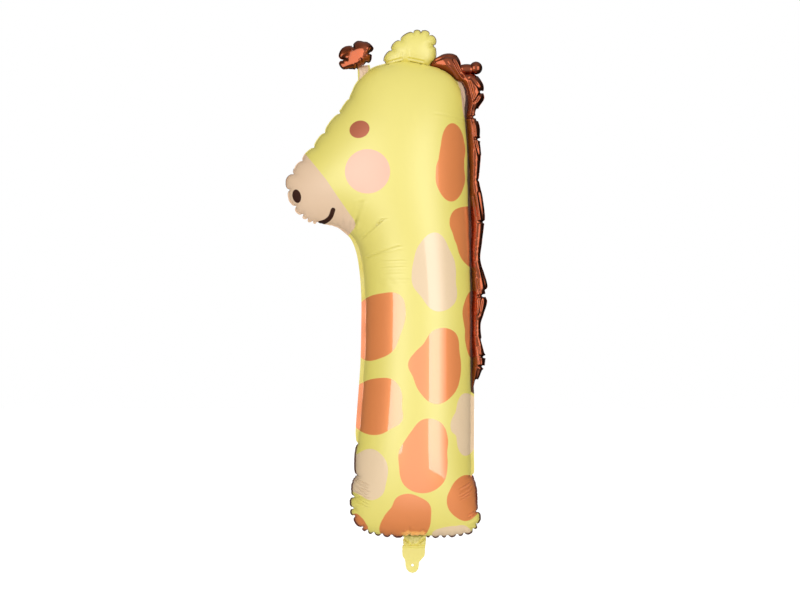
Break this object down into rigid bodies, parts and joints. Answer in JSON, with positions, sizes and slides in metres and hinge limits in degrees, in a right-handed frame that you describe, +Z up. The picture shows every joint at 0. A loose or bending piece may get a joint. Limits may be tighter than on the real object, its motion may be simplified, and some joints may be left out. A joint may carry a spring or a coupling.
{
  "type": "number foil balloon",
  "caption": "Inflated foil balloon in the shape of a figure one with a giraffe's head, ear, horn and mane, a welded rim and a filling tail with a ribbon hole.",
  "frame": {"origin": "centre of the ribbon hole at the lower end of the filling tail", "axes": "+Z up along the figure, -Y out of the front panel, -X towards the giraffe's muzzle and +X towards its mane"},
  "size_m": [0.3549, 0.226, 0.9495],
  "materials": {
    "foil": "thin film with satin yellow and cream print, metallic copper spots and a mirror-bright brown mane and horn"
  },
  "bodies": {
    "root": {"envelope": "foil"}
  },
  "joints": []
}
